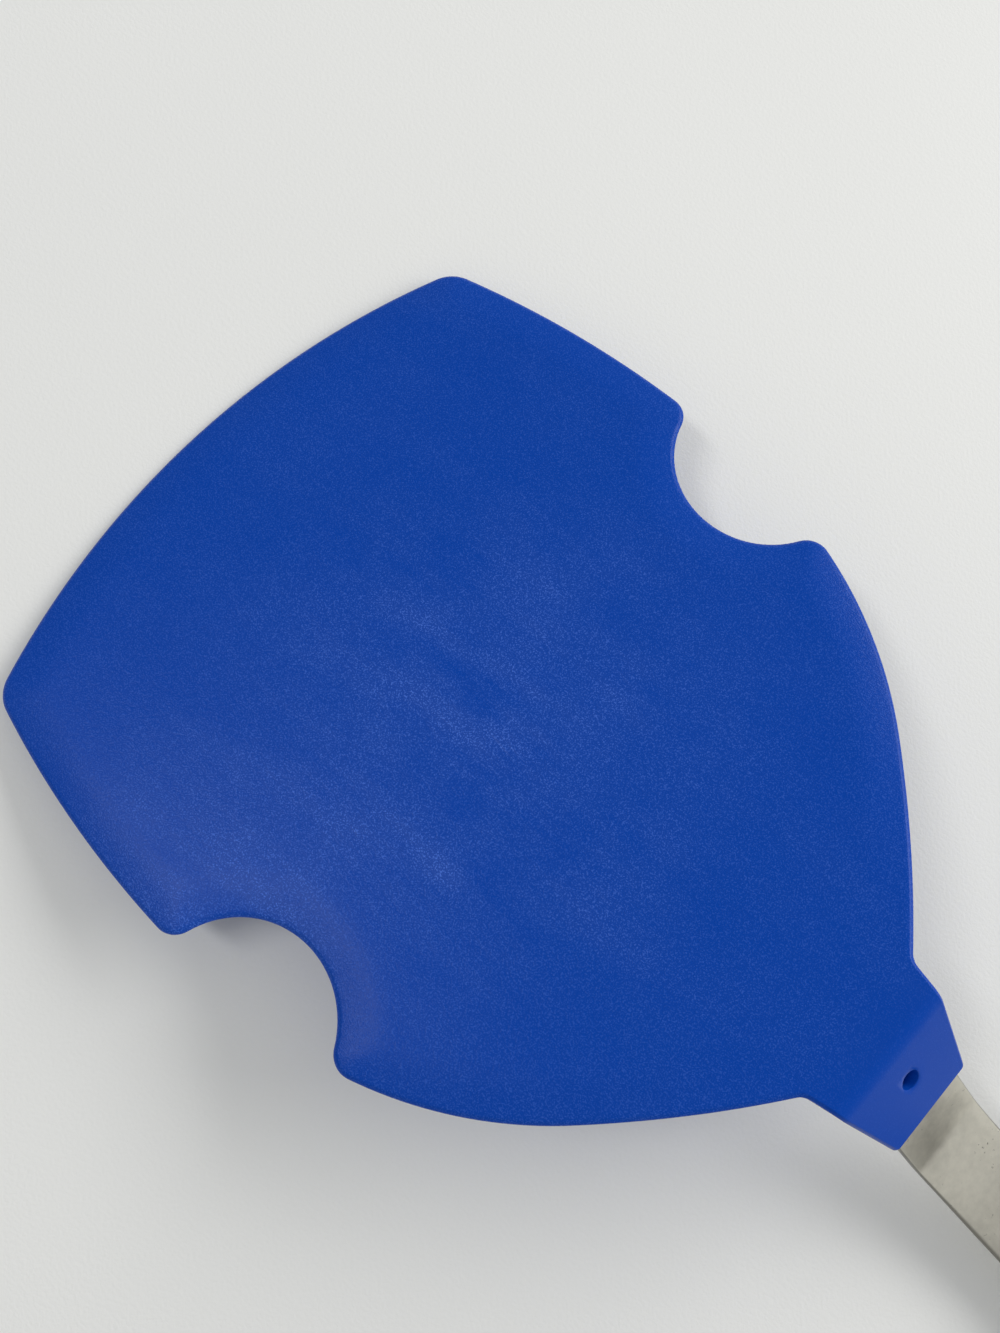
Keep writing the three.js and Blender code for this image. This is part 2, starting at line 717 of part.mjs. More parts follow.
// The origin lies on the table, under the middle of the whole tool
const part = new THREE.Group();
part.add(turner);
part.updateMatrixWorld(true);
const box = new THREE.Box3().setFromObject(turner, true);
const middle = box.getCenter(new THREE.Vector3());
turner.position.set(-middle.x, -middle.y, -box.min.z);

export default part;
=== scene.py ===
"""Looks of a silicone turner that lies on a pale table, seen from above the blade."""
import json
import math

import bpy
from mathutils import Matrix, Vector


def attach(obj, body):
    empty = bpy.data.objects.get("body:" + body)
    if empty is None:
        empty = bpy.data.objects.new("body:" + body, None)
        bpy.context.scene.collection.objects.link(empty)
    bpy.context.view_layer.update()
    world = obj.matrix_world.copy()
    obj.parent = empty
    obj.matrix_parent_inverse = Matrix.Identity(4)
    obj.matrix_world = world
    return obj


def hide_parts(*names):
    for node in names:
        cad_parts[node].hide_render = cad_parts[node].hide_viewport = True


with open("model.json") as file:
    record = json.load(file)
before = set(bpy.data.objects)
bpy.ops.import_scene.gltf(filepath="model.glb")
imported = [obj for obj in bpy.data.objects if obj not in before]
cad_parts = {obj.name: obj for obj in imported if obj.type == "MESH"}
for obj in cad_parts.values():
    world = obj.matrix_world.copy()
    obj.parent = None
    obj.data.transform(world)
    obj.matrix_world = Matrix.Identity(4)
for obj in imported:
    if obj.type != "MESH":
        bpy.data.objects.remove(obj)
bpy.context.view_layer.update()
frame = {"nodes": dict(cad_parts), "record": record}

# Sizes in millimetres, the same as the solids have. Angles are written in degrees.
# u runs along the tool from blade to grip, v across it, h stands on the blade's face.
BLADE_FRONT = 88
BLADE_HALF_WIDTH = 70
FRONT_RADIUS = 164
FRONT_CORNER_RADIUS = 7.2
SIDE_RADIUS = 209
SIDE_CROWN = -18.5
BITE_RADIUS = 18
BITE_STAND_OFF = 2
BITE_FRONT_CORNER_RADIUS = 4.6
BITE_REAR_CORNER_RADIUS = 4.5
SHOULDER_RADIUS = 84
SHOULDER_CENTRE = Vector((-6.7, -14.8))
SHOULDER_SPAN = math.radians(44.5)
FLANK_RADIUS = 243
HEEL_HALF_WIDTH = 14.8
HEEL_FILLET_RADIUS = 3.2
LEAST_CORNER_RADIUS = 0.25
CORNER_SOFTNESS = 0.4
HALF_BLADE = 1.6
HALF_RIM = 0.75
RIM_DROP = 0.65
RIM_RUN = 0.9
RIM_FLATNESS = 1.5
BEVEL_WIDTH = 9
BEVEL_FADE_START = 48
BEVEL_FADE_LENGTH = 26
NECK_TAPER = math.radians(11.3)
NECK_LEAD = 3.2
NECK_BEND_RADIUS = 3.6
SLEEVE_ANGLE = math.radians(45)
SLEEVE_LENGTH = 20.3
SLEEVE_WALL = 1.3
SLEEVE_CORNER_RADIUS = 1.4
HALF_CORE = 0.5
CORE_MARGINS = (11, 5.2, 4)
LOCK_HOLE_RADIUS = 3.2
LOCK_HOLE_PITCH = (28, 31)
LOCK_HOLE_FIRST_U = -58
LOCK_HOLE_EDGE = 6
LOCK_HOLE_SIDE_ROWS = 2
BAR_HALF_WIDTH = 8.5
BAR_THICKNESS = 2
BAR_EDGE_RADIUS = 0.35
BAR_ROLL_RADIUS = 0.9
BAR_ROLL_LENGTH = 24
TANG_LEAD = 0.7
TANG_CORNER_RADIUS = 2
BAR_STRAIGHT = 13
CRANK_ANGLE = math.radians(34)
CRANK_RADIUS = 16
CRANK_STRAIGHT = 4
SWEEP_RADIUS = 79
BAR_EXPOSED = 66
FLARE_LENGTH = 48
TANG_PEG_PLACE = 6.4
PIN_HOLE_RADIUS = 1.9
PIN_HOLE_DEPTH = 3
GRIP_LENGTH = 115
GRIP_FRONT_HALF_WIDTH = 9.7
GRIP_REAR_RADIUS = 11.5
GRIP_CORNER_RADIUS = 3
SCALE_THICKNESS = 7
SCALE_EDGE_RADIUS = 3.6
SCALE_SEAM_RADIUS = 0.5
GRIP_RIVET_RADIUS = 2.4
GRIP_RIVET_PLACES = (16, 46, 76)
GRIP_RIVET_SINK = 0.2
EYELET_BORE_RADIUS = 4
EYELET_WALL = 0.8
EYELET_FLANGE = 1.6
EYELET_SINK = 0.2
FIT_GAP = 0.3

# How far the fine skins stay inside the solids' coarser facets, and how far cutters pass a face
SKIN_RELIEF = 0.05
CUT_OVERLAP = 0.02
PEG_REACH = 2
BAR_CUT_REACH = 3
SCALE_CUT_LOW = -3
SCALE_CUT_HIGH = 10

# Small forms of the skins
RIM_RIDGE = 0.05
NECK_BEVEL_SPREAD = 2
PIN_HOLE_LIP = 0.22
PIN_HOLE_FLOOR_RADIUS = 0.5
PIN_HOLE_FLOOR_CHAMFER = 0.15
RIVET_HOLE_CHAMFER = 0.3
RIVET_RIM = 0.3
RIVET_CROWN = 0.24
EYELET_NECK = 0.2
EYELET_UNDER_EDGE = 0.1
EYELET_EDGE_DROP = 0.48
EYELET_SHOULDER_INSET = 0.25
EYELET_SHOULDER_DROP = 0.18
EYELET_FACE_INSET = 0.8

# Steps along the stretches of an outline or a rounding, cells across a cap, and sides of round bodies
FRONT_STEPS = 36
BLADE_CORNER_STEPS = 12
SIDE_STEPS = 24
BITE_STEPS = 36
SHOULDER_STEPS = 20
FLANK_STEPS = 20
HEEL_STEPS = 10
NECK_LEAD_STEPS = 2
BEND_STEPS = 20
SLEEVE_STEPS = 8
SLEEVE_CORNER_STEPS = 8
BEVEL_STEPS = 9
RIM_STEPS = 8
BLADE_CELLS = 24
CORE_CELLS = 4
LIP_STEPS = 4
TANG_CORNER_STEPS = 6
BAR_LEG_STEPS = (10, 8, 3, 48, 12)
BAR_EDGE_STEPS = 5
BAR_CELLS = 8
GRIP_CORNER_STEPS = 10
GRIP_SIDE_STEPS = 24
GRIP_REAR_STEPS = 40
SCALE_EDGE_STEPS = 10
SCALE_SEAM_STEPS = 3
SCALE_CELLS = 8
CROWN_STEPS = 5
ROLL_STEPS = 5
ROUND_SIDES = 48
EYELET_SIDES = 64

# Limits of the solving, the insets and the smooth shading
NEWTON_STEPS = 30
MITRE_LIMIT = 0.5
SMOOTH_ANGLE = math.radians(34)

# Sizes that follow
BEND_LENGTH = NECK_BEND_RADIUS * SLEEVE_ANGLE
BAR_TOP = -HALF_CORE - FIT_GAP
BAR_MIDDLE = BAR_TOP - BAR_THICKNESS / 2
SLEEVE_FLOOR = BAR_TOP - BAR_THICKNESS - FIT_GAP - SLEEVE_WALL
UNDER_LEAD = (-SLEEVE_FLOOR - HALF_BLADE) / math.sin(SLEEVE_ANGLE)
SCALE_SEAT = BAR_THICKNESS / 2 + FIT_GAP
EYELET_OUTER_RADIUS = EYELET_BORE_RADIUS + EYELET_WALL
EYELET_PLACE = GRIP_LENGTH - GRIP_REAR_RADIUS
METRES = 0.001

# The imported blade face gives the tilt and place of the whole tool
blade_face = next(m for m in frame["record"]["mounts"] if m["name"] == "blade_face")
REST_TILT = math.atan2(-blade_face["axis"][0], blade_face["axis"][2])
TILT = Matrix.Rotation(-REST_TILT, 3, "Y")
ORIGIN = Vector(blade_face["pos_m"]) - TILT @ Vector((0, 0, HALF_BLADE)) * METRES


def to_part(point):
    """A point of the tool, in millimetres, as it lies in the part's frame, in metres."""
    return TILT @ Vector(point) * METRES + ORIGIN


# Plane curves of the blade's outline
class Circle:
    """A round stretch. Its side is 1 where the blade lies within the circle, and -1 round a bite."""

    def __init__(self, centre, radius, side):
        self.centre = Vector(centre)
        self.radius = radius
        self.side = side

    def depth(self, p):
        return self.side * (self.radius - (p - self.centre).length)

    def inward(self, p):
        return (self.centre - p).normalized() * self.side

    def foot(self, p, inset):
        return self.centre + (p - self.centre).normalized() * (self.radius - self.side * inset)


class Line:
    """A straight stretch with the blade on its right."""

    def __init__(self, start, angle):
        self.start = Vector(start)
        self.normal = Vector((math.sin(angle), -math.cos(angle)))

    def depth(self, p):
        return (p - self.start).dot(self.normal)

    def inward(self, p):
        return self.normal

    def foot(self, p, inset):
        return p + self.normal * (inset - self.depth(p))


def point_at_depths(a, b, depth_a, depth_b, guess):
    """The point at a wanted depth inside each of two curves, by Newton steps."""
    p = Vector(guess)
    for _ in range(NEWTON_STEPS):
        na = a.inward(p)
        nb = b.inward(p)
        ea = depth_a - a.depth(p)
        eb = depth_b - b.depth(p)
        det = na.x * nb.y - na.y * nb.x
        p += Vector((ea * nb.y - eb * na.y, eb * na.x - ea * nb.x)) / det
    return p


def fillet(a, b, radius, inset_a, inset_b, guess, side):
    """Centre, start and end of a rounded corner between two set-in curves. Deep insets stay soft."""
    inset = max(inset_a, inset_b)
    grown = radius - inset if side > 0 else radius + min(inset_a, inset_b)
    reach = side * max(grown, LEAST_CORNER_RADIUS, CORNER_SOFTNESS * inset)
    centre = point_at_depths(a, b, inset_a + reach, inset_b + reach, guess)
    return centre, a.foot(centre, inset_a), b.foot(centre, inset_b)


def arc_points(centre, start, end, count):
    """Points along an arc, without its first point."""
    a = start - centre
    b = end - centre
    sweep = math.atan2(a.x * b.y - a.y * b.x, a.dot(b))
    return [centre + Matrix.Rotation(sweep * i / count, 2) @ a for i in range(1, count + 1)]


def line_points(start, end, count):
    """Points along a line, without its first point."""
    return [start.lerp(end, i / count) for i in range(1, count + 1)]


def smooth_step(x, low, high):
    t = min(max((x - low) / (high - low), 0), 1)
    return t * t * (3 - 2 * t)


# Curves that bound one half of the blade, from front to sleeve
SHOULDER_TURN = Vector((math.cos(SHOULDER_SPAN), math.sin(SHOULDER_SPAN)))
FLANK_CENTRE = SHOULDER_CENTRE + SHOULDER_TURN * (SHOULDER_RADIUS - FLANK_RADIUS)
HEEL_RUN = math.sqrt(FLANK_RADIUS**2 - (HEEL_HALF_WIDTH - FLANK_CENTRE.y) ** 2)
HEEL = Vector((FLANK_CENTRE.x + HEEL_RUN, HEEL_HALF_WIDTH))
front_curve = Circle((FRONT_RADIUS - BLADE_FRONT, 0), FRONT_RADIUS, 1)
side_curve = Circle((SIDE_CROWN, BLADE_HALF_WIDTH - SIDE_RADIUS), SIDE_RADIUS, 1)
bite_curve = Circle((0, BLADE_HALF_WIDTH + BITE_STAND_OFF), BITE_RADIUS, -1)
shoulder_curve = Circle(SHOULDER_CENTRE, SHOULDER_RADIUS, 1)
flank_curve = Circle(FLANK_CENTRE, FLANK_RADIUS, 1)
neck_curve = Line(HEEL, -NECK_TAPER)
HEEL_FILLET_END = fillet(flank_curve, neck_curve, HEEL_FILLET_RADIUS, 0, 0, HEEL, -1)[2]
BEND_START = HEEL_FILLET_END.x + NECK_LEAD
BEND_END = BEND_START + BEND_LENGTH
SLEEVE_END = BEND_START + SLEEVE_LENGTH
TANG_LENGTH = SLEEVE_END - BEND_END - TANG_LEAD
GRIP_START = TANG_LENGTH + BAR_EXPOSED


def neck_point(u, inset):
    """The neck's edge at a place along the tool, set in."""
    set_in = inset / math.cos(NECK_TAPER)
    return Vector((u, HEEL.y - math.tan(NECK_TAPER) * (u - HEEL.x) - set_in))


def blade_outline(body, neck, end):
    """Half outline of the blade and its straightened sleeve, set in by three margins."""
    end_curve = Line((SLEEVE_END, 0), -math.pi / 2)
    corner_guess = (-BLADE_FRONT, BLADE_HALF_WIDTH)
    bite_front = (-BITE_RADIUS, BLADE_HALF_WIDTH)
    bite_rear = (BITE_RADIUS, BLADE_HALF_WIDTH)
    tip_guess = (SLEEVE_END, HEEL_HALF_WIDTH)
    a = fillet(front_curve, side_curve, FRONT_CORNER_RADIUS, body, body, corner_guess, 1)
    b = fillet(side_curve, bite_curve, BITE_FRONT_CORNER_RADIUS, body, body, bite_front, 1)
    c = fillet(bite_curve, shoulder_curve, BITE_REAR_CORNER_RADIUS, body, body, bite_rear, 1)
    n = fillet(flank_curve, neck_curve, HEEL_FILLET_RADIUS, body, neck, HEEL, -1)
    e = fillet(neck_curve, end_curve, SLEEVE_CORNER_RADIUS, neck, end, tip_guess, 1)
    shoulder_end = SHOULDER_CENTRE + SHOULDER_TURN * (SHOULDER_RADIUS - body)
    bend_in = neck_point(BEND_START, neck)
    bend_out = neck_point(BEND_END, neck)
    front_sweep = math.atan2(a[1].y, front_curve.centre.x - a[1].x)
    reach = FRONT_RADIUS - body
    points = []
    for i in range(FRONT_STEPS):
        angle = front_sweep * (2 * i + 1) / (2 * FRONT_STEPS - 1)
        points.append(front_curve.centre + Vector((-math.cos(angle), math.sin(angle))) * reach)
    points += arc_points(*a, BLADE_CORNER_STEPS)
    points += arc_points(side_curve.centre, a[2], b[1], SIDE_STEPS)
    points += arc_points(*b, BLADE_CORNER_STEPS)
    points += arc_points(bite_curve.centre, b[2], c[1], BITE_STEPS)
    points += arc_points(*c, BLADE_CORNER_STEPS)
    points += arc_points(SHOULDER_CENTRE, c[2], shoulder_end, SHOULDER_STEPS)
    points += arc_points(FLANK_CENTRE, shoulder_end, n[1], FLANK_STEPS)
    points += arc_points(*n, HEEL_STEPS)
    points += line_points(n[2], bend_in, NECK_LEAD_STEPS)
    points += line_points(bend_in, bend_out, BEND_STEPS)
    points += line_points(bend_out, e[1], SLEEVE_STEPS)
    points += arc_points(*e, SLEEVE_CORNER_STEPS)
    return points


def bend_neck(u, v, h):
    """Where a point of the straightened blade lies once its neck is bent into the sleeve."""
    run = u - BEND_START
    if run <= 0:
        return Vector((u, v, h))
    turn = min(run, BEND_LENGTH) / NECK_BEND_RADIUS
    past = max(run - BEND_LENGTH, 0)
    reach = NECK_BEND_RADIUS + h
    x = BEND_START + reach * math.sin(turn) + past * math.cos(turn)
    z = reach * math.cos(turn) - NECK_BEND_RADIUS - past * math.sin(turn)
    return Vector((x, v, z))


def bend_under_neck(u, v, h):
    """The underside bends earlier, which gives the sleeve its depth. Its slip keeps the end square."""
    early = BEND_START - UNDER_LEAD
    slip = UNDER_LEAD * (1 - math.cos(SLEEVE_ANGLE))
    share = min(max((u - early) / (SLEEVE_END - early), 0), 1)
    return bend_neck(u + UNDER_LEAD - slip * share, v, h) - Vector((UNDER_LEAD, 0, 0))


def on_blade(u, v, h):
    """A point of the straightened blade on the bent one, above or below its middle plane."""
    return bend_neck(u, v, h) if h >= 0 else bend_under_neck(u, v, h)


# Meshes
def new_piece(name, points, faces):
    """A smooth-shaded mesh from points of the tool, in millimetres."""
    mesh = bpy.data.meshes.new(name)
    mesh.from_pydata([to_part(p) for p in points], [], faces)
    mesh.update()
    piece = bpy.data.objects.new(name, mesh)
    bpy.context.scene.collection.objects.link(piece)
    shade(mesh)
    return piece


def shade(mesh):
    mesh.shade_smooth()
    mesh.set_sharp_from_angle(angle=SMOOTH_ANGLE)


def ring_faces(rings, cells):
    """Points and faces of a closed body through mirrored rings, listed from top to bottom."""
    size = 2 * len(rings[0])
    points = []
    for ring in rings:
        points += list(ring)
        points += [(u, -v, h) for u, v, h in reversed(ring)]
    faces = []
    for r in range(len(rings) - 1):
        for i in range(size):
            a = r * size + i
            b = r * size + (i + 1) % size
            faces.append((b, b + size, a + size, a))
    faces += cap_faces(points, rings[0], 0, cells)
    bottom = cap_faces(points, rings[-1], (len(rings) - 1) * size, cells)
    faces += [face[::-1] for face in bottom]
    return points, faces


def cap_faces(points, ring, first, cells):
    """Faces across a ring, in rungs from side to side, each but the end ones cut into cells.
    The corners of the cells join the points."""
    half = len(ring)
    rows = []
    for i, (u, v, h) in enumerate(ring):
        row = [first + 2 * half - 1 - i]
        for k in range(1, cells if 0 < i < half - 1 else 1):
            row.append(len(points))
            points.append((u, v * (2 * k / cells - 1), h))
        row.append(first + i)
        rows.append(row)
    faces = []
    for low, high in zip(rows, rows[1:]):
        faces += [(a[0], *b, *reversed(a[1:])) for a, b in rung_cells(low, high)]
    return faces


def rung_cells(low, high):
    """Pairs of edges that face each other across two rungs. An end rung takes all of its neighbour."""
    if len(low) != len(high):
        return [(low, high)]
    return [(low[k : k + 2], high[k : k + 2]) for k in range(len(low) - 1)]


def ring_piece(name, rings, cells, place):
    points, faces = ring_faces(rings, cells)
    return new_piece(name, [place(*p) for p in points], faces)


def ring_at(outline, height):
    """An outline raised to a height that may change along the tool."""
    return [(p.x, p.y, height(p.x)) for p in outline]


def turned_piece(name, profile, sides, place, closed=False):
    """A revolved body. The profile lists radius and height; an open one ends on the axis.
    No corner lies on the tool's middle plane, which keeps cuts clean."""
    points = []
    faces = []
    rows = []
    for radius, height in profile:
        if radius == 0:
            rows.append([len(points)] * sides)
            points.append((0, 0, height))
            continue
        rows.append(list(range(len(points), len(points) + sides)))
        for k in range(sides):
            angle = 2 * math.pi * (k + 0.5) / sides
            points.append((radius * math.cos(angle), radius * math.sin(angle), height))
    pairs = list(zip(rows, rows[1:]))
    if closed:
        pairs.append((rows[-1], rows[0]))
    for low, high in pairs:
        for k in range(sides):
            n = (k + 1) % sides
            face = (low[k], low[n], high[n], high[k])
            faces.append(tuple(dict.fromkeys(face)))
    return new_piece(name, [place(*p) for p in points], faces)


def combine(operation, piece, others):
    """Joins the others to a piece or takes them out of it, and removes them."""
    for other in others:
        step = piece.modifiers.new(other.name, "BOOLEAN")
        step.operation = operation
        step.solver = "EXACT"
        step.object = other
    graph = bpy.context.evaluated_depsgraph_get()
    mesh = bpy.data.meshes.new_from_object(piece.evaluated_get(graph))
    piece.modifiers.clear()
    piece.data = mesh
    mesh.name = piece.name
    for other in others:
        bpy.data.objects.remove(other)
    shade(mesh)
    return piece


def cut(piece, *cutters):
    return combine("DIFFERENCE", piece, cutters)


def join(piece, *others):
    return combine("UNION", piece, others)


# Places
def on_sleeve(x, y, z):
    """A point given about the tang peg's axis, z along the normal of the sleeve's face."""
    at = bend_neck(BEND_END + TANG_PEG_PLACE, 0, 0)
    turn = Matrix.Rotation(SLEEVE_ANGLE, 3, "Y")
    return at + turn @ Vector((x, y, z))


def bar_legs():
    """Length and turn of the bar's stretches, from the tang to the grip."""
    crank_turn = SLEEVE_ANGLE - CRANK_ANGLE
    sweep_turn = CRANK_ANGLE - REST_TILT
    return (
        (TANG_LENGTH + BAR_STRAIGHT, 0),
        (CRANK_RADIUS * crank_turn, crank_turn),
        (CRANK_STRAIGHT, 0),
        (SWEEP_RADIUS * sweep_turn, sweep_turn),
        (math.inf, 0),
    )


def bar_course(s):
    """Place and slope of the bar's middle plane at a distance along it."""
    start = bend_neck(BEND_END + TANG_LEAD, 0, BAR_MIDDLE)
    x = start.x
    z = start.z
    slope = SLEEVE_ANGLE
    left = s
    for length, turn in bar_legs():
        run = min(left, length)
        if turn:
            swing = turn * run / length
            x += length / turn * (math.sin(slope) - math.sin(slope - swing))
            z += length / turn * (math.cos(slope) - math.cos(slope - swing))
            slope -= swing
        else:
            x += run * math.cos(slope)
            z -= run * math.sin(slope)
        left -= run
        if left <= 0:
            break
    return x, z, slope


def on_bar(s, v, h):
    x, z, slope = bar_course(s)
    return Vector((x + h * math.sin(slope), v, z + h * math.cos(slope)))


def on_grip(x, y, z):
    """A point given from the front of the grip, x along it, z up from the bar's middle plane."""
    return on_bar(GRIP_START + x, y, z)


# Silicone blade
def bevel_fade(u):
    """None of the fade on the blade, all of it at the heel."""
    return smooth_step(u, BEVEL_FADE_START, BEVEL_FADE_START + BEVEL_FADE_LENGTH)


def edge_height(u):
    return HALF_RIM + (HALF_BLADE - HALF_RIM) * bevel_fade(u)


def blade_profile():
    """Rings of the blade's upper edge: inset on the body, inset on the neck, height by place."""
    steps = []
    for i in range(BEVEL_STEPS, 0, -1):
        share = i / BEVEL_STEPS
        body = RIM_RUN + (BEVEL_WIDTH - RIM_RUN) * share
        neck = RIM_DROP * (1 + NECK_BEVEL_SPREAD * share)
        steps.append((body, neck, bevel_height(math.sin(share * math.pi / 2))))
    for i in range(RIM_STEPS + 1):
        turn = math.pi / 2 * i / RIM_STEPS
        inset = 1 - math.sin(turn) ** RIM_FLATNESS
        drop = 1 - max(math.cos(turn), 0) ** RIM_FLATNESS
        body = RIM_RUN * inset + RIM_RIDGE
        neck = RIM_DROP * inset + RIM_RIDGE
        steps.append((body, neck, rim_height(RIM_DROP * drop)))
    return steps


def bevel_height(rise):
    return lambda u: edge_height(u) + (HALF_BLADE - edge_height(u)) * rise


def rim_height(drop):
    return lambda u: edge_height(u) - drop


def mirrored(height):
    return lambda u: -height(u)


def make_blade():
    """The silicone skin, hollowed round the core and the tang."""
    upper = []
    lower = []
    for body, neck, height in blade_profile():
        outline = blade_outline(body + SKIN_RELIEF, neck + SKIN_RELIEF, neck + SKIN_RELIEF)
        upper.append(ring_at(outline, height))
        lower.append(ring_at(outline, mirrored(height)))
    ridge = ring_at(blade_outline(SKIN_RELIEF, SKIN_RELIEF, SKIN_RELIEF), lambda u: 0)
    blade = ring_piece("blade_skin", upper + [ridge] + lower[::-1], BLADE_CELLS, on_blade)
    hollow = cut(join(core_cavity(), tang_pocket()), *silicone_pegs())
    return cut(blade, hollow, pin_hole())


def lock_holes():
    """Places of the silicone pegs that reach through the core."""
    room = LOCK_HOLE_RADIUS + LOCK_HOLE_EDGE + CORE_MARGINS[0]
    curves = (front_curve, side_curve, bite_curve, shoulder_curve, flank_curve)
    places = []
    u = LOCK_HOLE_FIRST_U
    while u < BEVEL_FADE_START + BEVEL_FADE_LENGTH:
        for row in range(-LOCK_HOLE_SIDE_ROWS, LOCK_HOLE_SIDE_ROWS + 1):
            v = row * LOCK_HOLE_PITCH[1]
            if all(curve.depth(Vector((u, abs(v)))) > room for curve in curves):
                places.append((u, v))
        u += LOCK_HOLE_PITCH[0]
    return places


def core_cavity():
    """The hollow round the core plate."""
    outline = blade_outline(*(margin - FIT_GAP for margin in CORE_MARGINS))
    reach = HALF_CORE + FIT_GAP
    rings = [ring_at(outline, lambda u: reach), ring_at(outline, lambda u: -reach)]
    return ring_piece("core_cavity", rings, CORE_CELLS, bend_neck)


def silicone_pegs():
    """The pegs of silicone that stand in the holes of the core and the tang."""
    radius = LOCK_HOLE_RADIUS - FIT_GAP
    pegs = []
    for u, v in lock_holes():
        pegs.append(post(f"core_peg_{u}_{v}", u, radius, -PEG_REACH, PEG_REACH, shifted(v)))
    pegs.append(post("tang_peg", 0, radius, SLEEVE_FLOOR, HALF_BLADE, on_sleeve))
    return pegs


def shifted(v):
    return lambda a, b, c: Vector((a, b + v, c))


def tang_pocket():
    """The slot in the sleeve that holds the bar's tang, open at the sleeve's end."""
    start = BEND_END + TANG_LEAD - FIT_GAP
    wide = BAR_HALF_WIDTH + FIT_GAP
    corners = [Vector((start, wide)), Vector((SLEEVE_END + SLEEVE_WALL, wide))]
    top = ring_at(corners, lambda u: BAR_TOP + FIT_GAP)
    bottom = ring_at(corners, lambda u: BAR_TOP - BAR_THICKNESS - FIT_GAP)
    return ring_piece("tang_pocket", [top, bottom], 1, bend_neck)


def pin_hole():
    """The blind hole in the sleeve's face, with a softened lip and a rounded floor."""
    radius = PIN_HOLE_RADIUS
    lip = PIN_HOLE_LIP
    floor = PIN_HOLE_FLOOR_RADIUS
    chamfer = PIN_HOLE_FLOOR_CHAMFER
    low = HALF_BLADE - PIN_HOLE_DEPTH
    high = HALF_BLADE + CUT_OVERLAP
    profile = [(0, low), (radius - floor, low)]
    profile += [(radius - chamfer, low + chamfer), (radius, low + floor)]
    for i in range(LIP_STEPS + 1):
        turn = math.pi / 2 * i / LIP_STEPS
        profile.append((radius + lip * (1 - math.cos(turn)), high - lip * (1 - math.sin(turn))))
    profile += [(radius + lip, high + lip), (0, high + lip)]
    return turned_piece("pin_hole", profile, ROUND_SIDES, on_sleeve)


# Steel bar
def grip_outline():
    """Half outline of the grip from its front edge: front corner, side and round rear."""
    rear_radius = GRIP_REAR_RADIUS - SKIN_RELIEF
    front_half = GRIP_FRONT_HALF_WIDTH - SKIN_RELIEF
    rear = Vector((EYELET_PLACE - SKIN_RELIEF, 0))
    widening = math.asin((rear_radius - front_half) / rear.x)
    side_end = rear + Vector((-math.sin(widening), math.cos(widening))) * rear_radius
    corner = Vector((GRIP_CORNER_RADIUS + SKIN_RELIEF, front_half - GRIP_CORNER_RADIUS))
    corner_start = corner - Vector((GRIP_CORNER_RADIUS, 0))
    corner_end = corner + Vector((0, GRIP_CORNER_RADIUS))
    front = [corner_start] + arc_points(corner, corner_start, corner_end, GRIP_CORNER_STEPS)
    side = line_points(corner_end, side_end, GRIP_SIDE_STEPS)
    tip = rear + Vector((rear_radius, 0))
    round_end = arc_points(rear, side_end, tip, GRIP_REAR_STEPS)[:-1]
    return front, side, round_end


def bar_half_at(s):
    """Half the bar's width, which flares towards the grip."""
    flare = smooth_step(s, GRIP_START - FLARE_LENGTH, GRIP_START)
    return BAR_HALF_WIDTH + (GRIP_FRONT_HALF_WIDTH - BAR_HALF_WIDTH) * flare


def bar_edge_at(s):
    """Radius of the bar's long edges: nearly square in the sleeve and the grip, rolled between them."""
    crank_start = TANG_LENGTH + BAR_STRAIGHT
    rise = smooth_step(s, crank_start, crank_start + BAR_ROLL_LENGTH)
    fall = smooth_step(s, GRIP_START - BAR_ROLL_LENGTH / 2, GRIP_START)
    return BAR_EDGE_RADIUS + (BAR_ROLL_RADIUS - BAR_EDGE_RADIUS) * (rise - fall)


def bar_outline():
    """Half outline of the bar and its tang in the grip, laid flat."""
    corner = Vector((TANG_CORNER_RADIUS, BAR_HALF_WIDTH - TANG_CORNER_RADIUS))
    corner_start = Vector((0, corner.y))
    corner_end = Vector((TANG_CORNER_RADIUS, BAR_HALF_WIDTH))
    points = [corner_start] + arc_points(corner, corner_start, corner_end, TANG_CORNER_STEPS)
    start = TANG_CORNER_RADIUS
    reached = 0
    for (length, _), steps in zip(bar_legs(), BAR_LEG_STEPS):
        reached = min(reached + length, GRIP_START)
        for i in range(1, steps + 1):
            s = start + (reached - start) * i / steps
            points.append(Vector((s, bar_half_at(s))))
        start = reached
    _, side, round_end = grip_outline()
    points += [p + Vector((GRIP_START, 0)) for p in side + round_end]
    return points


def shrink(points, inset_at):
    """An outline moved inwards along its own normals."""
    moved = []
    for i, p in enumerate(points):
        before = points[i - 1] if i else Vector((p.x, -p.y))
        after = points[i + 1] if i + 1 < len(points) else Vector((p.x, -p.y))
        a = (p - before).normalized()
        middle = (a + (after - p).normalized()).normalized()
        spread = inset_at(p.x) / max(middle.dot(a), MITRE_LIMIT)
        moved.append(p + Vector((middle.y, -middle.x)) * spread)
    return moved


def round_edge(steps):
    """Inset and drop of a quarter-round edge of radius one, from the face to the side."""
    turns = [math.pi / 2 * i / steps for i in range(steps + 1)]
    return [(1 - math.sin(t), 1 - math.cos(t)) for t in turns]


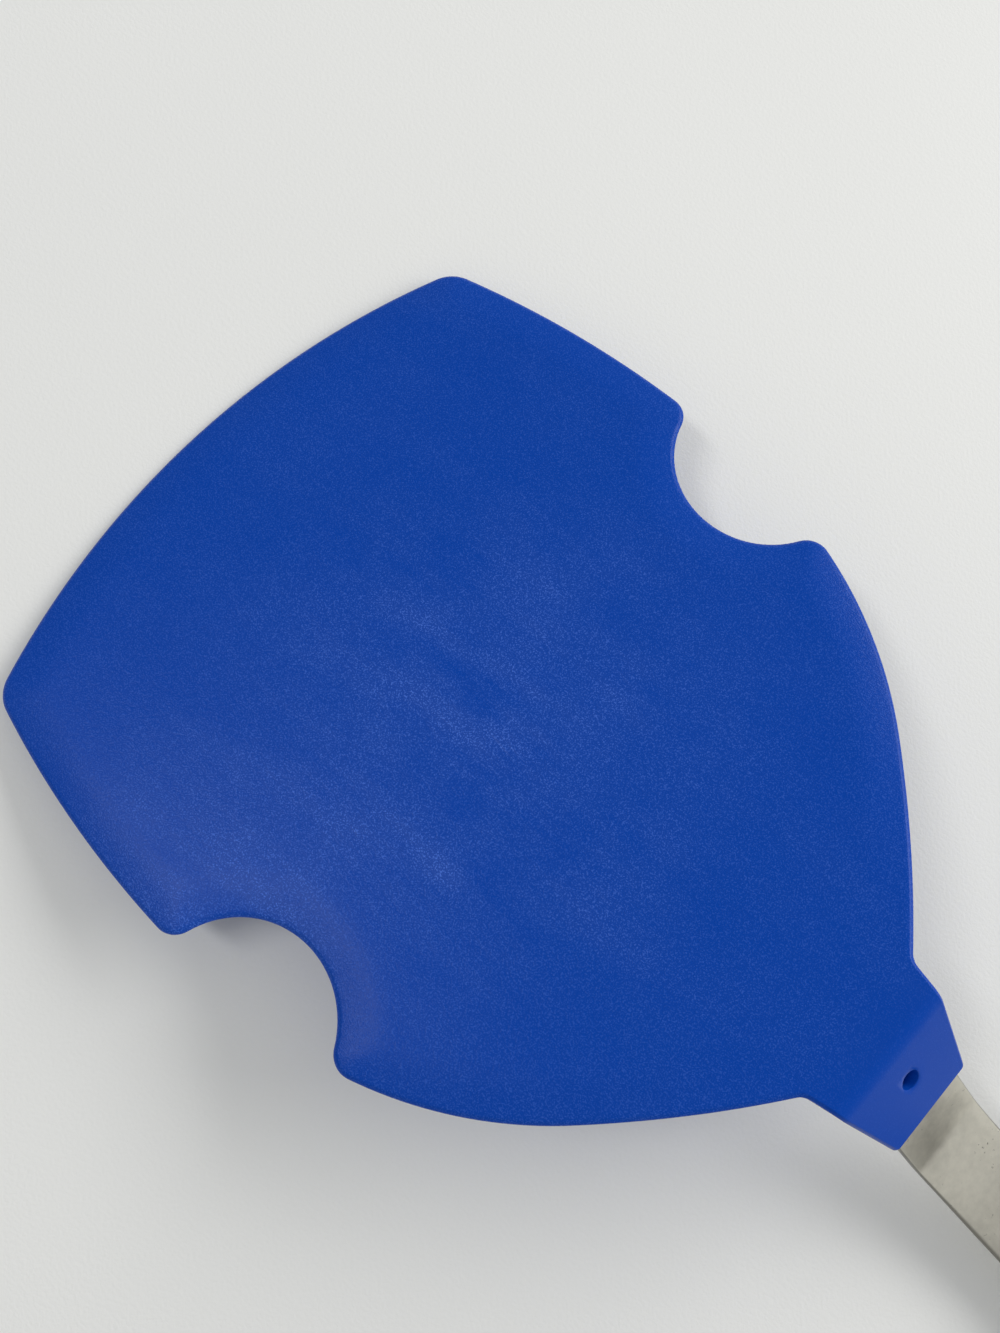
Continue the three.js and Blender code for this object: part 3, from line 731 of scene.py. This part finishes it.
def make_bar():
    """The steel bar with its holes for the peg, the rivets and the eyelet."""
    outline = bar_outline()
    face = BAR_THICKNESS / 2
    upper = []
    lower = []
    for inset, drop in round_edge(BAR_EDGE_STEPS):
        ring = shrink(outline, lambda s: inset * bar_edge_at(s))
        upper.append(ring_at(ring, lambda s: face - drop * bar_edge_at(s)))
        lower.append(ring_at(ring, lambda s: drop * bar_edge_at(s) - face))
    bar = ring_piece("shank_bar", upper + lower[::-1], BAR_CELLS, on_bar)
    span = (-BAR_CUT_REACH, BAR_CUT_REACH)
    cutters = [post("tang_peg_hole", 0, LOCK_HOLE_RADIUS, SLEEVE_FLOOR, HALF_BLADE, on_sleeve)]
    for i, x in enumerate(GRIP_RIVET_PLACES):
        cutters.append(post(f"bar_hole_{i}", x, GRIP_RIVET_RADIUS + FIT_GAP, *span, on_grip))
    cutters.append(post("bar_eye", EYELET_PLACE, EYELET_OUTER_RADIUS + FIT_GAP, *span, on_grip))
    return cut(bar, *cutters)


def post(name, x, radius, low, high, place):
    """A round post from one height to another."""
    profile = ((0, low), (radius, low), (radius, high), (0, high))
    return turned_piece(name, profile, ROUND_SIDES, moved_along(place, x))


def moved_along(place, x):
    """The same placing with its start moved along the tool."""
    return lambda a, b, c: place(x + a, b, c)


# Grip
def make_scale(name, side):
    """One half of the grip, above the bar with side 1 and below it with side -1."""
    front, along, round_end = grip_outline()
    outline = front + along + round_end
    rings = []
    for inset, drop in round_edge(SCALE_EDGE_STEPS):
        ring = shrink(outline, lambda x: inset * SCALE_EDGE_RADIUS)
        rings.append(ring_at(ring, lambda x: SCALE_THICKNESS - drop * SCALE_EDGE_RADIUS))
    for inset, drop in reversed(round_edge(SCALE_SEAM_STEPS)):
        ring = shrink(outline, lambda x: inset * SCALE_SEAM_RADIUS)
        rings.append(ring_at(ring, lambda x: drop * SCALE_SEAM_RADIUS))

    def place(x, y, z):
        return on_grip(x, side * y, side * (SCALE_SEAT + z))

    scale = ring_piece(name, rings, SCALE_CELLS, place)
    return cut(scale, *scale_holes(name, place))


def scale_holes(name, place):
    """Cutters of a scale: three rivet holes, and the eyelet's hole with its recess."""
    cutters = []
    for i, x in enumerate(GRIP_RIVET_PLACES):
        cutters.append(flared_hole(f"{name}_hole_{i}", x, GRIP_RIVET_RADIUS + FIT_GAP, place))
    bore = EYELET_OUTER_RADIUS + FIT_GAP
    flange = bore + EYELET_FLANGE
    recess = SCALE_THICKNESS - EYELET_SINK - EYELET_WALL - FIT_GAP
    cutters.append(post(f"{name}_eye", EYELET_PLACE, bore, SCALE_CUT_LOW, SCALE_CUT_HIGH, place))
    cutters.append(post(f"{name}_recess", EYELET_PLACE, flange, recess, SCALE_CUT_HIGH, place))
    return cutters


def flared_hole(name, x, radius, place):
    """A through hole with a small chamfer at the outer face."""
    lip = RIVET_HOLE_CHAMFER
    profile = [(0, SCALE_CUT_LOW), (radius, SCALE_CUT_LOW), (radius, SCALE_THICKNESS - lip)]
    profile += [(radius + lip, SCALE_THICKNESS + CUT_OVERLAP)]
    profile += [(radius + lip, SCALE_CUT_HIGH), (0, SCALE_CUT_HIGH)]
    return turned_piece(name, profile, ROUND_SIDES, moved_along(place, x))


def make_grip_rivet(name, x):
    """A pin through both scales, with a chamfered rim and a low crown at each end."""
    end = SCALE_SEAT + SCALE_THICKNESS - GRIP_RIVET_SINK
    radius = GRIP_RIVET_RADIUS - SKIN_RELIEF
    shoulder = radius - RIVET_RIM / 3
    half = [(radius, end - 2 * RIVET_RIM), (shoulder, end - RIVET_RIM - RIVET_RIM / 5)]
    for i in range(CROWN_STEPS + 1):
        share = 1 - i / CROWN_STEPS
        half.append(((radius - RIVET_RIM) * share, end - RIVET_CROWN * share * share))
    profile = [(r, -h) for r, h in reversed(half)] + half
    return turned_piece(name, profile, ROUND_SIDES, moved_along(on_grip, x))


def make_eyelet():
    """A tube with a flange at each end, rounded at its edge and rolled into the bore."""
    end = SCALE_SEAT + SCALE_THICKNESS - EYELET_SINK
    flange = EYELET_OUTER_RADIUS + EYELET_FLANGE - SKIN_RELIEF
    under = end - EYELET_WALL
    half = [
        (EYELET_OUTER_RADIUS, under - EYELET_NECK),
        (flange - EYELET_UNDER_EDGE, under),
        (flange, end - EYELET_EDGE_DROP),
        (flange - EYELET_SHOULDER_INSET, end - EYELET_SHOULDER_DROP),
        (flange - EYELET_FACE_INSET, end),
    ]
    for i in range(ROLL_STEPS + 1):
        turn = math.pi / 2 * i / ROLL_STEPS
        radius = EYELET_BORE_RADIUS + EYELET_WALL * (1 - math.sin(turn))
        half.append((radius, end - EYELET_WALL * (1 - math.cos(turn))))
    profile = half + [(r, -h) for r, h in reversed(half)]
    place = moved_along(on_grip, EYELET_PLACE)
    return turned_piece("eyelet_liner", profile, EYELET_SIDES, place, True)


# Looks. Colours are linear, places and reaches in millimetres, noise scales per metre, bumps in metres.
SILICONE_BLUE = (0.0005, 0.053, 0.385)
# Pale colour of the wear haze and its painted sheen on the blade
SILICONE_WEAR_AND_SHEEN = (0.16, 0.22, 0.42)
# Pale blue of the painted glints on the grain
SILICONE_GLINT = (0.08, 0.20, 0.75)
SILICONE_IOR = 1.41
SILICONE_SHEEN = 0.155
SLEEVE_GRAIN = 0.3
GRAIN_FADE_LEAD = 4
# Places and reaches where the painted sheen on the blade is strongest
PAINTED_SHEEN_MIDDLE = (-5, -8, 0)
PAINTED_SHEEN_MIDDLE_REACH = (8, 55)
PAINTED_SHEEN_BITE = (-18, -50, 0)
PAINTED_SHEEN_BITE_REACH = (4, 34)
BAR_TINT = (0.74, 0.71, 0.61)
RIVET_TINT = (0.66, 0.65, 0.63)
PIT_BLACK = (0.10, 0.09, 0.08)
BAR_STREAKS = 0.3
RIVET_STREAKS = 0.15
STAIN_SHARE = 0.8
# Share, place and reach of a painted dark reflection on the bar beside the sleeve
DARK_REFLECTION_SHARE = 0.35
# Share of the painted dark reflection along the steel's long edges
EDGE_REFLECTION_SHARE = 0.3
DARK_REFLECTION_PLACE = 9
DARK_REFLECTION_REACH = (3, 11)
GRIP_BLACK = (0.014, 0.0145, 0.016)
GRIP_WORN = (0.030, 0.031, 0.033)
CORE_GREY = (0.045, 0.048, 0.055)
CORE_FIBRE = (0.16, 0.16, 0.16)
TABLE_DULL = (0.82, 0.825, 0.805)
TABLE_PALE = (0.86, 0.865, 0.845)
SILICONE_BUMP = 0.00005
STEEL_BUMP = 0.00002
GRIP_BUMP = 0.00005
CORE_BUMP = 0.00002
TABLE_BUMP = 0.0002


class Paint:
    """A node material with short calls for what the finishes here need."""

    def __init__(self, name):
        self.material = bpy.data.materials.new(name)
        self.material.use_nodes = True
        self.tree = self.material.node_tree
        self.bsdf = self.tree.nodes["Principled BSDF"]
        self.coordinates = self.add("ShaderNodeTexCoord").outputs
        self.place = self.coordinates["Object"]

    def add(self, kind, **inputs):
        node = self.tree.nodes.new(kind)
        for key, value in inputs.items():
            node.inputs[key.replace("_", " ")].default_value = value
        return node

    def link(self, source, target):
        self.tree.links.new(source, target)

    def drawn_out(self, turn, stretch):
        """Object coordinates stretched along a direction of the table's plane, and in height."""
        rotation = (0, 0, math.radians(turn))
        node = self.add("ShaderNodeMapping", Rotation=rotation, Scale=(stretch, 1, stretch))
        node.vector_type = "TEXTURE"
        self.link(self.place, node.inputs["Vector"])
        return node.outputs["Vector"]

    def near(self, point, reach):
        """One close to a point of the tool, fading to zero between the reach's two distances."""
        node = self.add("ShaderNodeVectorMath")
        node.operation = "DISTANCE"
        self.link(self.place, node.inputs[0])
        node.inputs[1].default_value = to_part(point)
        full, none = (distance * METRES for distance in reach)
        return self.ramp(node.outputs["Value"], full, none, 1.0, 0.0)

    def sideways(self):
        """How far the surface faces across the tool, from zero to one."""
        node = self.add("ShaderNodeSeparateXYZ")
        self.link(self.coordinates["Normal"], node.inputs["Vector"])
        return self.math("ABSOLUTE", node.outputs["Y"], 0)

    def noise(self, scale, detail, roughness=0.5, place=None):
        node = self.add("ShaderNodeTexNoise", Scale=scale, Detail=detail, Roughness=roughness)
        self.link(place or self.place, node.inputs["Vector"])
        return node.outputs["Fac"]

    def ramp(self, source, low, high, to_low=0.0, to_high=1.0):
        """Maps a value range on to another, clamped."""
        span = {"From_Min": low, "From_Max": high, "To_Min": to_low, "To_Max": to_high}
        node = self.add("ShaderNodeMapRange", **span)
        self.link(source, node.inputs["Value"])
        return node.outputs["Result"]

    def math(self, operation, a, b):
        node = self.add("ShaderNodeMath")
        node.operation = operation
        for socket, value in zip(node.inputs, (a, b)):
            if isinstance(value, (int, float)):
                socket.default_value = value
            else:
                self.link(value, socket)
        return node.outputs["Value"]

    def plus(self, a, b):
        return self.math("ADD", a, b)

    def times(self, a, b):
        return self.math("MULTIPLY", a, b)

    def mix(self, factor, a, b):
        """A colour between two colours, or colour sockets."""
        node = self.add("ShaderNodeMix")
        node.data_type = "RGBA"
        self.link(factor, node.inputs["Factor"])
        for name, value in (("A", a), ("B", b)):
            socket = next(s for s in node.inputs if s.name == name and s.type == "RGBA")
            if isinstance(value, tuple):
                socket.default_value = (*value, 1)
            else:
                self.link(value, socket)
        return next(s for s in node.outputs if s.type == "RGBA")

    def bump(self, height, strength, distance):
        node = self.add("ShaderNodeBump", Strength=strength, Distance=distance)
        self.link(height, node.inputs["Height"])
        return node.outputs["Normal"]

    def set(self, **inputs):
        for key, value in inputs.items():
            socket = self.bsdf.inputs[key.replace("_", " ")]
            if isinstance(value, (int, float)):
                socket.default_value = value
            elif isinstance(value, tuple):
                socket.default_value = (*value, 1)
            else:
                self.link(value, socket)
        return self.material


def moulded_grain(p):
    """One on the blade, less on the sleeve, which is smoother."""
    along = p.add("ShaderNodeSeparateXYZ")
    p.link(p.place, along.inputs["Vector"])
    heel_x = to_part((HEEL.x - GRAIN_FADE_LEAD, 0, 0)).x
    bend_x = to_part((BEND_START, 0, 0)).x
    return p.ramp(along.outputs["X"], heel_x, bend_x, 1.0, SLEEVE_GRAIN)


def wear_and_painted_sheen(p):
    """Clouds, streaks and fine strokes of wear, with a painted sheen that is strongest in the middle
    and beside one bite.
    """
    middle = p.near(PAINTED_SHEEN_MIDDLE, PAINTED_SHEEN_MIDDLE_REACH)
    by_bite = p.near(PAINTED_SHEEN_BITE, PAINTED_SHEEN_BITE_REACH)
    # The haze is brightened in two patches of painted sheen, in the middle and beside one bite
    painted_sheen_patches = p.math("MAXIMUM", middle, by_bite)
    cloud = p.ramp(p.noise(scale=45, detail=4, roughness=0.6), 0.36, 0.66)
    streaks = p.ramp(p.noise(scale=130, detail=4, roughness=0.6, place=p.drawn_out(4, 5)), 0.42, 0.70)
    strokes = p.ramp(p.noise(scale=900, detail=2, place=p.drawn_out(-8, 8)), 0.68, 0.76)
    wear_and_sheen = p.plus(p.times(cloud, 0.5), p.times(streaks, 0.6))
    wear_and_sheen = p.plus(wear_and_sheen, p.times(strokes, streaks))
    return p.times(wear_and_sheen, p.plus(p.times(painted_sheen_patches, 0.85), 0.15))


def silicone_material():
    """Royal blue silicone with a fine moulded grain, a rubbed haze of wear with painted sheen, and
    painted glints on the grain.
    """
    p = Paint("blue_silicone")
    grained = moulded_grain(p)
    wear_and_sheen = wear_and_painted_sheen(p)
    grain = p.noise(scale=3600, detail=1)
    pores = p.noise(scale=1500, detail=1)
    height = p.times(p.plus(grain, p.times(pores, 0.3)), grained)
    normal = p.bump(height, 1.0, SILICONE_BUMP)
    # Pale specks on the grain are painted glints, strongest where the painted sheen lies
    painted_glints = p.times(p.ramp(grain, 0.52, 0.70), p.plus(p.times(wear_and_sheen, 0.9), 0.2))
    with_wear_and_sheen = p.mix(p.times(wear_and_sheen, 0.12), SILICONE_BLUE, SILICONE_WEAR_AND_SHEEN)
    colour = p.mix(p.times(painted_glints, grained), with_wear_and_sheen, SILICONE_GLINT)
    rough = p.ramp(p.plus(grain, p.times(wear_and_sheen, 0.3)), 0.3, 1.0, 0.24, 0.36)
    rough = p.times(rough, p.ramp(grained, SLEEVE_GRAIN, 1.0, 0.6, 1.0))
    p.set(Base_Color=colour, Roughness=rough, Normal=normal)
    return p.set(IOR=SILICONE_IOR, Specular_IOR_Level=SILICONE_SHEEN)


def darker(tint, share):
    return tuple(c * share for c in tint)


def steel_material(name, tint, streaks):
    """Satin stainless steel with rolling streaks, cloudy wear, clusters of dark pits and painted dark
    reflections.
    """
    p = Paint(name)
    roll = p.noise(scale=260, detail=3, roughness=0.6, place=p.drawn_out(0, 16))
    fine = p.noise(scale=2600, detail=2, place=p.drawn_out(0, 32))
    cloud = p.noise(scale=90, detail=4, roughness=0.6)
    mottle = p.ramp(p.noise(scale=620, detail=3, roughness=0.6), 0.35, 0.65)
    pits = p.times(p.ramp(p.noise(scale=1500, detail=2), 0.66, 0.71), p.ramp(cloud, 0.46, 0.58))
    stain = p.ramp(p.noise(scale=48, detail=5, roughness=0.65), 0.35, 0.75)
    dull = p.plus(p.times(stain, 0.6), p.times(mottle, 0.4))
    satin = p.mix(dull, tint, darker(tint, STAIN_SHARE))
    # A painted dark reflection on the bar beside the sleeve, broken up by the stain
    dark_reflection = p.times(p.near(on_bar(TANG_LENGTH + DARK_REFLECTION_PLACE, 0, 0), DARK_REFLECTION_REACH), stain)
    base = p.mix(dark_reflection, satin, darker(tint, DARK_REFLECTION_SHARE))
    # Painted dark reflection on the faces that turn across the tool, along the long edges
    with_edge_reflection = p.mix(p.ramp(p.sideways(), 0.2, 0.7), base, darker(tint, EDGE_REFLECTION_SHARE))
    colour = p.mix(p.times(pits, 0.8), with_edge_reflection, PIT_BLACK)
    rough = p.plus(p.ramp(cloud, 0.3, 0.7, 0.26, 0.38), p.times(roll, 0.08))
    normal = p.bump(p.plus(roll, fine), streaks, STEEL_BUMP)
    return p.set(Base_Color=colour, Metallic=1.0, Roughness=rough, Normal=normal)


def grip_material():
    """Matte moulded black plastic with a fine leathery spark texture."""
    p = Paint("black_grip")
    texture = p.noise(scale=1500, detail=3, roughness=0.6)
    wave = p.noise(scale=220, detail=2)
    wear = p.ramp(p.noise(scale=35, detail=4, roughness=0.6), 0.4, 0.75)
    colour = p.mix(wear, GRIP_BLACK, GRIP_WORN)
    rough = p.ramp(p.plus(texture, p.times(wear, 0.4)), 0.3, 1.0, 0.46, 0.66)
    normal = p.bump(p.plus(texture, p.times(wave, 0.5)), 0.45, GRIP_BUMP)
    return p.set(Base_Color=colour, Roughness=rough, Normal=normal)


def core_material():
    """Glass-filled nylon, dark grey with short pale fibres at the surface."""
    p = Paint("core_nylon")
    fibre = p.ramp(p.noise(scale=900, detail=2, place=p.drawn_out(30, 8)), 0.58, 0.72)
    colour = p.mix(p.times(fibre, 0.4), CORE_GREY, CORE_FIBRE)
    normal = p.bump(fibre, 0.2, CORE_BUMP)
    return p.set(Base_Color=colour, Roughness=0.6, Normal=normal)


def floor_material():
    """Pale matt table with the slightest mottle."""
    p = Paint("pale_table")
    mottle = p.noise(scale=7, detail=3)
    weave = p.noise(scale=1300, detail=2, roughness=0.6)
    colour = p.mix(mottle, TABLE_DULL, TABLE_PALE)
    return p.set(Base_Color=colour, Roughness=0.8, Normal=p.bump(weave, 0.35, TABLE_BUMP))


def coat(piece, material):
    piece.data.materials.clear()
    piece.data.materials.append(material)


def dress(piece, material, slot, *nodes):
    """Gives a skin its finish and sets it in the place of the solids that it covers."""
    coat(piece, material)
    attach(piece, "root")
    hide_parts(*nodes)


# Camera in the tool's millimetres, on the photo's pixels, and light in the part's metres
CAMERA_PLACE = Vector((35.5, -32.5, 196.3))
CAMERA_TARGET = Vector((-9.8, 5.8, 0))
CAMERA_RIGHT = Vector((0.7314, 0.6811, -0.0359))
PHOTO_HEIGHT = 1333
PHOTO_FOCUS = 1100
SENSOR = 36
CLIP_START = 0.01
DIM_SIDE = (-0.3, -0.35, 1)
STUDIO_RANGE = (-0.1, 0.5)
STUDIO_LIGHT = (0.72, 0.38)
STUDIO_TINT = (0.98, 0.99, 1.0)
WINDOW_PLACE = (0.24, 0.68, 0.52)
WINDOW_TARGET = (-0.09, 0, 0.52)
WINDOW_SIZE = (0.85, 0.42)
WINDOW_POWER = 6.4
WINDOW_TINT = (1.0, 0.99, 0.97)
CEILING_PLACE = (-0.58, -0.31, 0.88)
CEILING_TARGET = (-0.58, -0.31, 0)
CEILING_SIZE = (0.45, 0.15)
CEILING_POWER = 2.5
CEILING_TINT = (1.0, 1.0, 1.0)
TABLE_HALF = 3.0


def make_camera():
    """The photo's camera, found from the blade's outline."""
    forward = TILT @ (CAMERA_TARGET - CAMERA_PLACE).normalized()
    right = TILT @ CAMERA_RIGHT
    up = right.cross(forward).normalized()
    right = forward.cross(up)
    camera = bpy.data.objects.new("camera", bpy.data.cameras.new("camera"))
    turn = Matrix((right, up, -forward)).transposed()
    camera.matrix_world = Matrix.Translation(to_part(CAMERA_PLACE)) @ turn.to_4x4()
    camera.data.sensor_width = SENSOR
    camera.data.lens = SENSOR * PHOTO_FOCUS / PHOTO_HEIGHT
    camera.data.clip_start = CLIP_START
    bpy.context.scene.collection.objects.link(camera)
    bpy.context.scene.camera = camera


def make_lamp(name, place, target, size, power, tint):
    """A soft panel that faces its target."""
    lamp = bpy.data.lights.new(name, "AREA")
    lamp.shape = "RECTANGLE"
    lamp.size, lamp.size_y = size
    lamp.energy = power
    lamp.color = tint
    holder = bpy.data.objects.new(name, lamp)
    holder.location = place
    holder.rotation_euler = (Vector(target) - Vector(place)).to_track_quat("-Z", "Y").to_euler()
    holder.visible_camera = False
    bpy.context.scene.collection.objects.link(holder)


def make_world():
    """A soft studio, palest low down past the window and the grip, and dim overhead."""
    world = bpy.data.worlds.new("studio")
    world.use_nodes = True
    nodes = world.node_tree.nodes
    links = world.node_tree.links
    place = nodes.new("ShaderNodeTexCoord")
    away = nodes.new("ShaderNodeVectorMath")
    away.operation = "DOT_PRODUCT"
    away.inputs[1].default_value = DIM_SIDE
    level = nodes.new("ShaderNodeMapRange")
    span = ("From Min", "From Max", "To Min", "To Max")
    for name, value in zip(span, STUDIO_RANGE + STUDIO_LIGHT):
        level.inputs[name].default_value = value
    links.new(place.outputs["Generated"], away.inputs[0])
    links.new(away.outputs["Value"], level.inputs["Value"])
    links.new(level.outputs["Result"], nodes["Background"].inputs["Strength"])
    nodes["Background"].inputs["Color"].default_value = (*STUDIO_TINT, 1)
    bpy.context.scene.world = world


def make_floor():
    half = TABLE_HALF
    mesh = bpy.data.meshes.new("table_top")
    corners = [(-half, -half, 0), (half, -half, 0), (half, half, 0), (-half, half, 0)]
    mesh.from_pydata(corners, [], [(0, 1, 2, 3)])
    mesh.materials.append(floor_material())
    floor = bpy.data.objects.new("table_top", mesh)
    bpy.context.scene.collection.objects.link(floor)


# Assembly
make_camera()
make_world()
make_floor()
make_lamp("window", WINDOW_PLACE, WINDOW_TARGET, WINDOW_SIZE, WINDOW_POWER, WINDOW_TINT)
make_lamp("ceiling", CEILING_PLACE, CEILING_TARGET, CEILING_SIZE, CEILING_POWER, CEILING_TINT)

silicone = silicone_material()
bar_steel = steel_material("bar_steel", BAR_TINT, BAR_STREAKS)
rivet_steel = steel_material("rivet_steel", RIVET_TINT, RIVET_STREAKS)
grip_black = grip_material()

dress(make_blade(), silicone, "silicone", "silicone_blade")
dress(make_bar(), bar_steel, "bar_steel", "steel_shank")
dress(make_scale("upper_scale_shell", 1), grip_black, "grip_plastic", "upper_scale")
dress(make_scale("lower_scale_shell", -1), grip_black, "grip_plastic", "lower_scale")
for place, where in zip(GRIP_RIVET_PLACES, ("front", "middle", "rear")):
    rivet = make_grip_rivet(f"{where}_rivet_pin", place)
    dress(rivet, rivet_steel, "rivet_steel", f"{where}_grip_rivet")
dress(make_eyelet(), rivet_steel, "rivet_steel", "hang_eyelet")
coat(frame["nodes"]["blade_core"], core_material())

bpy.context.scene.view_settings.view_transform = "Standard"
